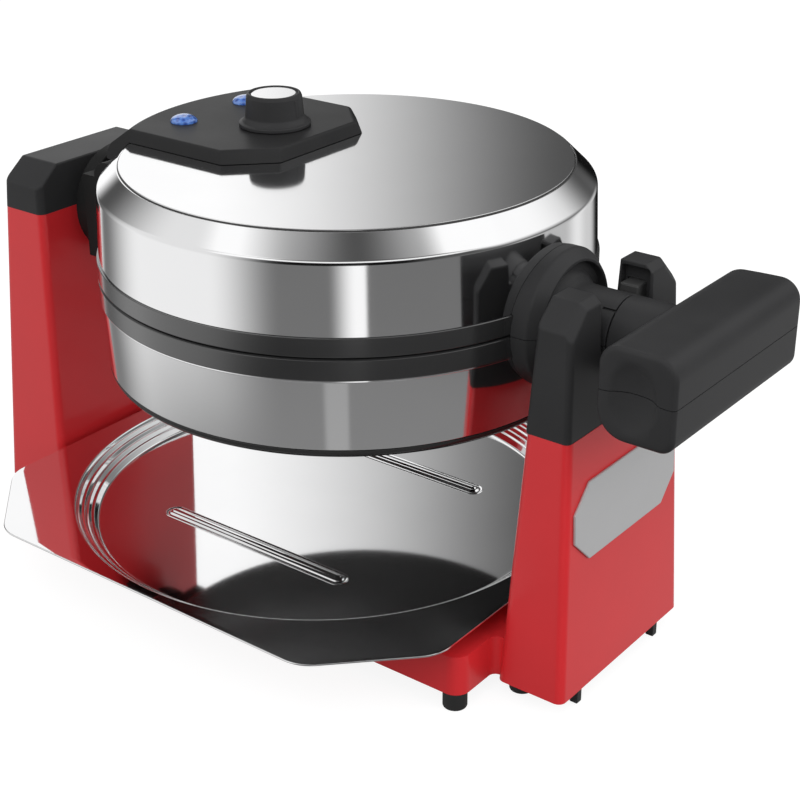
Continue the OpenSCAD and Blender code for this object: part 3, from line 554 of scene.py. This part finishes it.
def bar_end(outline, side):
    """Rings from the middle of an end, over its hollow and round its edge."""
    made = []
    for f in DISH_RINGS:
        ring = []
        for p in outline:
            x, z = p[0] * f * (1 - BAR_EDGE / BAR_CORE), p[1] * f * (1 - BAR_EDGE / BAR_CORE)
            rho = math.hypot((x + DISH_OFF) / DISH_WIDE, z / DISH_TALL)
            dip = DISH_DEEP * (1 - rho * rho) ** 0.7 if rho < 1 else 0
            ring.append(bar_spot(x, z, side * (BAR_LONG / 2 - dip)))
        made.append(ring)
    for k in range(1, 8):
        a = math.radians(90 * k / 7)
        s = 1 - BAR_EDGE * (1 - math.sin(a)) / BAR_CORE
        y = side * (BAR_LONG / 2 - BAR_EDGE * (1 - math.cos(a)))
        made.append([bar_spot(p[0] * s, p[1] * s, y) for p in outline])
    return made


def bar_rings():
    outline = bar_outline()
    start, span, parts = -BAR_LONG / 2 + BAR_EDGE, BAR_LONG - 2 * BAR_EDGE, 16
    rings = [[bar_spot(x, z, start + span * k / parts) for x, z in outline] for k in range(1, parts)]
    return bar_end(outline, -1) + rings + bar_end(outline, 1)[::-1]


def seam(side):
    """A slab over or under the wavy split: level, with a small step down near the outer edge."""
    xs = range(96, 216, 2)

    def height(x):
        rise = 1.2 * min(1, max(0, (x - 158) / 14))
        s = min(1, max(0, (x - 181) / 6))
        return rise - 1.4 * s * s * (3 - 2 * s) + side * 0.16

    return loft("cutter", [
        [spot(x, y, height(x)) for x in xs] + [spot(x, y, side * 60) for x in reversed(xs)]
        for y in (-80, 80)], BLACK)


STEM = rounded([(0, 142.25), (16.2, 142.25, 0.25), (16.2, 168), (0, 168)])
SPIGOT = rounded([(0, 109.8), (12, 109.8, 0.5), (12, 141), (15.0, 142), (15.0, 146), (0, 146)])
for name, side, body, gone in (("upper_handle_half", 1, "lid", "upper_handle"),
                               ("lower_handle_half", -1, "head", "lower_handle")):
    bar = loft(name, bar_rings(), BLACK)
    cut(bar, seam(side), "INTERSECT")
    soften(bar, 0.35, 2, 60)
    place(bar, body, [gone])
    for ending, profile, parts in (("_stem", STEM, 128), ("_spigot", SPIGOT, 96)):
        piece = lathe(name + ending, profile, BLACK, axis="x", parts=parts)
        cut(piece, seam(side), "INTERSECT")
        place(piece, body)

# Control panel: layers of (height, inset), cut to a rounded far edge and to the shell under it
PANEL_TOP = 54.1
PANEL_LAYERS = ((36, 0), (48.7, 0), (53.0, 1.55), (53.45, 1.78), (53.8, 2.1), (54.02, 2.5),
                (PANEL_TOP, 3.0))
PANEL_EDGE = [(0, 38.6), (112, 38.6, 0.8), (112, 41.0, 2.0), (109.1, 46.2, 4), (98.5, 54.1),
              (91, 60.02), (0, 60.02)]
PANEL_ROOM = [(0, 30), (108.65, 30), (108.25, 38.85), (99.1, 47.8), (98.5, 47.8), (98.5, 48.6), (0, 48.6)]


def panel_outline(inset, z):
    """The outline seen from above: cut corners at its near end, and past the shoulder at its far end."""
    half, end, cut_by, far = 45.5 - inset, 13.9 + inset, 17.9, -116
    points = [(far, -half), (-end - cut_by, -half, 2.4), (-end, -half + cut_by, 2.4),
              (-end, half - cut_by, 2.4), (-end - cut_by, half, 2.4), (far, half)]
    return [spot(x, y, z) for x, y in rounded(points, step=12)]


panel = loft("panel_cover", [panel_outline(inset, z) for z, inset in PANEL_LAYERS], PANEL)
cut(panel, lathe("cutter", rounded(PANEL_EDGE, step=8), BLACK), "INTERSECT")
cut(panel, lathe("cutter", PANEL_ROOM, BLACK))
lens_seats = [(x, y, 6.15) for x, y, _ in HOLES[1:]]
for holes, bottom in ((HOLES, 40), (lens_seats, 53.05)):
    for x, y, radius in holes:
        cut(panel, drill(radius, bottom, 60, spot(x, y, 0), parts=64))
soften(panel, 0.5, 3, 33)
place(panel, "lid", ["panel"], 30)

# Knob, with its pointer and its bright cap
KNOB = spot(KNOB_X, 0, 54.4)
knob = rounded([
    (3.05, 0), (16, 0, 0.4), (16, 1.5, 0.5), (14.6, 2.1, 1.2), (13.1, 4.0, 1.6), (12.4, 12.9, 0.8),
    (11.7, 14.5, 0.7), (10.8, 14.5, 0.35), (10.4, 13.7, 0.2), (10.4, 13.05), (3.05, 13.05)], step=9)
place(lathe("knob_body", knob, BLACK, KNOB, parts=128), "knob", ["knob"])
pointer = six_faced("knob_pointer", [spot(*corner, KNOB) for corner in (
    (11.8, -0.8, 5), (13.1, -0.7, 5), (13.1, 0.7, 5), (11.8, 0.8, 5),
    (11.6, -0.8, 12.6), (12.7, -0.6, 12.4), (12.7, 0.6, 12.4), (11.6, 0.8, 12.6))])
soften(pointer, 0.25, 2)
place(pointer, "knob")
cap = rounded([(0, 13.1), (10.25, 13.1), (10.25, 13.9, 0.3), (9.5, 14.1, 0.4), (0, 14.15)], step=10)
place(lathe("knob_cap_disc", cap, KNOB_METAL, KNOB, parts=128), "knob", ["knob_cap"])

# Lamp lenses: a spigot in the panel under a low dome
quarter = [math.radians(a) for a in range(0, 90, 7)]
lens = [(0, -8.6), (4.9, -8.6), (4.9, -1.0), (6.05, -1.0), (6.05, 0.15)]
lens += [(6.1 * math.cos(a), 3.0 * math.sin(a) + 0.2) for a in quarter] + [(0, 3.2)]
for name, y, gone in (("power_lens_dome", -LENS_Y, "power_lens"),
                      ("ready_lens_dome", LENS_Y, "ready_lens")):
    place(lathe(name, lens, LENS, spot(LENS_X, y, PANEL_TOP), parts=72), "lid", [gone])

# Drip tray: one sheet, from the middle of its underside round the rim to the middle of its top
TRAY_TOP, TRAY_X, TRAY_Y, TRAY_CUT, TRAY_ROUND = 37.5, 129.6, 124.0, 40.4, 18
SHEET, BASIN_DEPTH, COUNT = 0.8, 9.5, 720
TRAY = spot(0, 0, TRAY_TOP, BASE)
short_x, short_y = TRAY_X - TRAY_CUT, TRAY_Y - TRAY_CUT
TRAY_EDGE = rounded([(x, y, TRAY_ROUND) for x, y in (
    (TRAY_X, -short_y), (TRAY_X, short_y), (short_x, TRAY_Y), (-short_x, TRAY_Y),
    (-TRAY_X, short_y), (-TRAY_X, -short_y), (-short_x, -TRAY_Y), (short_x, -TRAY_Y))], step=4)
BASIN = rounded([
    (119.7, 0), (118.9, 0, 1.0), (118.2, -1.9, 0.35), (117.3, -1.5, 0.35), (116.2, -3.3, 0.4),
    (115.0, -3.2, 0.4), (114.1, -5.2, 0.4), (113.1, -4.8, 0.35), (112.0, -6.6, 0.4), (110.7, -6.5, 0.5),
    (108.9, -BASIN_DEPTH, 1.2), (106, -BASIN_DEPTH)], closed=False, step=12)


def tray_reach(angle):
    """Distance from the middle to the tray's rounded outline in a direction."""
    best = 1e9
    d = Vector((math.cos(angle), math.sin(angle)))
    for i, a in enumerate(TRAY_EDGE):
        b = TRAY_EDGE[(i + 1) % len(TRAY_EDGE)]
        ex, ey = b[0] - a[0], b[1] - a[1]
        den = d.x * ey - d.y * ex
        if abs(den) < 1e-12:
            continue
        t = (a[0] * ey - a[1] * ex) / den
        u = (a[0] * d.y - a[1] * d.x) / den
        if t > 0 and -1e-9 <= u <= 1 + 1e-9:
            best = min(best, t)
    return best


angles = [2 * math.pi * k / COUNT for k in range(COUNT)]
reach = [tray_reach(a) for a in angles]


def rim_ring(inset, z):
    return [spot((r - inset) * math.cos(a), (r - inset) * math.sin(a), z, TRAY)
            for r, a in zip(reach, angles)]


def round_ring(r, z):
    return [spot(r * math.cos(a), r * math.sin(a), z, TRAY) for a in angles]


FLOOR_RADII = (20, 60)
under = [round_ring(r, -BASIN_DEPTH - SHEET) for r in FLOOR_RADII]
under += [round_ring(r + 0.5, z - SHEET) for r, z in reversed(BASIN)]
under += [rim_ring(inset, z) for inset, z in ((3, -SHEET), (1.2, -0.9))]
RIM = ((0.55, -0.95), (0.12, -0.75), (0, -0.45), (0.12, -0.13), (0.45, 0), (3, 0))
over = [rim_ring(inset, z) for inset, z in RIM]
over += [round_ring(r, z) for r, z in BASIN] + [round_ring(r, -BASIN_DEPTH) for r in reversed(FLOOR_RADII)]
place(loft("drip_tray_sheet", under + over, TRAY_STEEL), "tray", ["drip_tray"], 50)


def stadium(length, width, z, y):
    """A ring in the shape of a stadium, along X."""
    r = width / 2
    ring = []
    for end in (1, -1):
        for k in range(25):
            a = math.radians(-90 * end + 180 * k / 24)
            ring.append(spot(end * (length / 2 - r) + r * math.cos(a), y + r * math.sin(a), z, TRAY))
    return ring


# Each bead with the low ridge round it: how far a ring grows, and how high it lies over the basin
BEAD_LONG, BEAD_WIDE, BEAD_FOOT = 106, 6.2, -9.52
BEAD_STEPS = ((2.0, 0.0), (1.75, 0.3), (1.4, 0.34), (1.05, 0.05), (0.4, 0.06), (0, 0.3), (-0.3, 0.75),
              (-0.75, 1.0), (-1.2, 1.02), (-1.35, 1.05), (-1.65, 1.35), (-2.0, 1.6), (-2.5, 1.72), (-2.9, 1.75))
for name, y in (("tray_bead_front", -52), ("tray_bead_rear", 52)):
    rings = [stadium(BEAD_LONG + 2 * grow, BEAD_WIDE + 2 * grow, BEAD_FOOT + up, y)
             for grow, up in BEAD_STEPS]
    place(loft(name, rings, TRAY_STEEL), "tray", angle=50)

# CAD nodes that stay, each with its finish and the width of its softened edges
for name, material, width in (
        ("base_shell", RED, 0.8), ("tower_left", RED, 0.5), ("tower_right", RED, 0.5),
        ("blade_feet", BLACK, 0.4), ("saddle", NYLON, 0.3), ("badge_plate", SATIN, 0.4),
        ("bottom_cover", BLACK, 0.3), ("tower_cover_left", BLACK, 0.5), ("tower_cover_right", BLACK, 0.5),
        ("platform_feet", RUBBER, 0.6), ("tower_feet", RUBBER, 0.6), ("cover_screws", PLAIN, 0.2),
        ("hub_bush", NYLON, 0.2), ("cord_gland", RUBBER, 0.6), ("hub", DARK, 0.6),
        ("hub_clip", PLAIN, 0.2), ("hinge_bracket", DARK, 0.6), ("hinge_pin", PLAIN, 0.4),
        ("lower_plate", GRID, 0.5), ("upper_plate", GRID, 0.5), ("lower_heater", PLAIN, 0),
        ("upper_heater", PLAIN, 0), ("lower_collar_screws", PLAIN, 0.2), ("upper_collar_screws", PLAIN, 0.2),
        ("lid_knuckle", DARK, 0.5), ("lamp_board", BOARD, 0.2), ("control_body", PLAIN, 0.3),
        ("control_shaft", PLAIN, 0.3), ("detent_front", NYLON, 0.8), ("detent_rear", NYLON, 0.8)):
    keep(name, material, width)


# Floor
def floor_material():
    """White to the camera, and it keeps the object's shadow."""
    made = bpy.data.materials.new("floor_white")
    made.use_nodes = True
    tree = made.node_tree
    tree.nodes.clear()
    seen = node(tree, "ShaderNodeLightPath").outputs["Is Camera Ray"]
    matt = node(tree, "ShaderNodeBsdfDiffuse", {"Color": (0.2, 0.2, 0.2, 1)})
    level = maths(tree, "MULTIPLY", seen, 0.88)
    glow = node(tree, "ShaderNodeEmission", {"Color": WHITE, "Strength": level})
    both = node(tree, "ShaderNodeAddShader", {0: matt.outputs[0], 1: glow.outputs[0]})
    node(tree, "ShaderNodeOutputMaterial", {"Surface": both.outputs[0]})
    return made


# It reaches 3 m each way and lies 0.2 mm under the feet
floor_corners = [(x, y, -0.0002) for x, y in ((-3, -3), (3, -3), (3, 3), (-3, 3))]
floor = link("floor", floor_corners, [(0, 1, 2, 3)], floor_material())
floor.visible_glossy = False

# World. Each soft box has its azimuth, its half width and softness (one number, or left and right),
# its level, its low and high elevation and the softness of those two edges, in degrees.
LIGHT_BOXES = (
    (-136, 38, 36, 0.72, -27.3, 60, 12, 16),
    (-136, (40, 48), (20, 90), 0.45, 52, 86, 10, 8),
    (52, (38, 33), (20, 22), 0.95, 19, 62, 44, 22),
    (52, (50, 30), (90, 20), 0.6, 52, 86, 10, 8),
    (52, 26, 20, 0.34, -36, 0, 10, 10),
    (148, (17, 12), (6, 12), 1.0, -22, 8, 10, 10),
    (148, (19.5, 12), (15, 12), 1.0, 8, 60, 10, 20),
    (-52, (1.75, 8.8), (13, 2), 0.85, -22.3, 5, 2, 10),
    (-52, (11, 0), (3, 2), 0.14, -36, -28, 3, 2),
    (-52, 62, 20, 0.9, 29, 46, 6, 6),
    (84, 14, 16, 0.45, -40, 0, 10, 20),
)
# Dark cards in the studio take their level's share of the light away
DARK_CARDS = (
    (113, 12, (12, 8), 0.95, -45, 12, 10, 10),
    (-52, 34, 24, 0.93, -10, 24, 6, 5),
    (-46, 60, 40, 0.75, -28, -23, 1.5, 1.5),
)
PLAIN_LEVEL, BRIGHTEST = 0.82, 1.05


def pair(value):
    return value if isinstance(value, tuple) else (value, value)


def soft_edge(tree, value, at, soft, side):
    """1 past an edge and 0 before it, with a soft step between: side is -1 where past means under."""
    return spread(tree, value, at - side * soft / 2, at + side * soft / 2, 0, 1, True)


def lobe(tree, way, centre, half, soft, level, low, high, low_soft, high_soft):
    """The brightness of a soft box as it is seen in a direction."""
    a = math.radians(centre)
    x, y, z = way
    c, s = math.cos(a), math.sin(a)
    ahead = maths(tree, "ADD", maths(tree, "MULTIPLY", x, c), maths(tree, "MULTIPLY", y, s))
    across = maths(tree, "SUBTRACT", maths(tree, "MULTIPLY", y, c), maths(tree, "MULTIPLY", x, s))
    azimuth = maths(tree, "MULTIPLY", maths(tree, "ARCTAN2", across, ahead), 180 / math.pi)
    height = maths(tree, "MULTIPLY", maths(tree, "ARCSINE", z), 180 / math.pi)
    (left, right), (left_soft, right_soft) = pair(half), pair(soft)
    value = level
    for part in (soft_edge(tree, azimuth, -left, left_soft, 1),
                 soft_edge(tree, azimuth, right, right_soft, -1),
                 soft_edge(tree, height, low, low_soft, 1),
                 soft_edge(tree, height, high, high_soft, -1)):
        value = maths(tree, "MULTIPLY", value, part)
    return value


def background(tree, strength):
    return node(tree, "ShaderNodeBackground", {"Color": WHITE, "Strength": strength}).outputs[0]


def studio():
    """Soft boxes for glossy rays, a plain level for the others, and white where the camera sees it."""
    world = bpy.data.worlds.new("studio")
    bpy.context.scene.world = world
    world.use_nodes = True
    tree = world.node_tree
    tree.nodes.clear()
    path = node(tree, "ShaderNodeLightPath")
    seen_way = node(tree, "ShaderNodeTexCoord").outputs["Generated"]
    way = tuple(node(tree, "ShaderNodeSeparateXYZ", {0: seen_way}).outputs)
    total = spread(tree, way[2], -0.6, 0.1, 0.24, 0.08)
    for box in LIGHT_BOXES:
        total = maths(tree, "ADD", total, lobe(tree, way, *box))
    for card in DARK_CARDS:
        total = maths(tree, "MULTIPLY", total, maths(tree, "SUBTRACT", 1.0, lobe(tree, way, *card)))
    shiny = background(tree, maths(tree, "MINIMUM", total, BRIGHTEST))
    plain, white = background(tree, PLAIN_LEVEL), background(tree, 1.0)
    mixed = node(tree, "ShaderNodeMixShader", {0: path.outputs["Is Glossy Ray"], 1: plain, 2: shiny})
    seen = maths(tree, "MAXIMUM", path.outputs["Is Camera Ray"], path.outputs["Is Transmission Ray"])
    out = node(tree, "ShaderNodeMixShader", {0: seen, 1: mixed.outputs[0], 2: white})
    node(tree, "ShaderNodeOutputWorld", {"Surface": out.outputs[0]})


studio()


# Lamps, in metres and watts, aimed at the middle of the object
def lamp(name, at, size, power):
    data = bpy.data.lights.new(name, "AREA")
    data.shape = "SQUARE"
    data.size = size
    data.energy = power
    made = bpy.data.objects.new(name, data)
    bpy.context.scene.collection.objects.link(made)
    made.location = at
    made.rotation_euler = (Vector((0, 0, 0.1)) - Vector(at)).to_track_quat("-Z", "Y").to_euler()
    made.visible_glossy = False


lamp("key", (0.5, -1.3, 1.5), 1.2, 10.5)
lamp("fill", (1.6, 0.2, 0.9), 1.0, 8)

# Camera, solved from the photograph's circles
FOCAL_PX, PHOTO_PX, SENSOR = 1638.98, 800, 36
right, up = Vector((0.792184, 0.610261, -0.00505)), Vector((-0.259102, 0.343812, 0.902585))
back = -Vector((-0.552549, 0.713705, -0.430482))
data = bpy.data.cameras.new("camera")
data.sensor_width = SENSOR
data.lens = FOCAL_PX * SENSOR / PHOTO_PX
camera = bpy.data.objects.new("camera", data)
bpy.context.scene.collection.objects.link(camera)
turn = Matrix((right, up, back)).transposed().to_4x4()
camera.matrix_world = Matrix.Translation(spot(436.8005, -527.9078, 256.8749)) @ turn
bpy.context.scene.camera = camera
bpy.context.scene.view_settings.view_transform = "Standard"
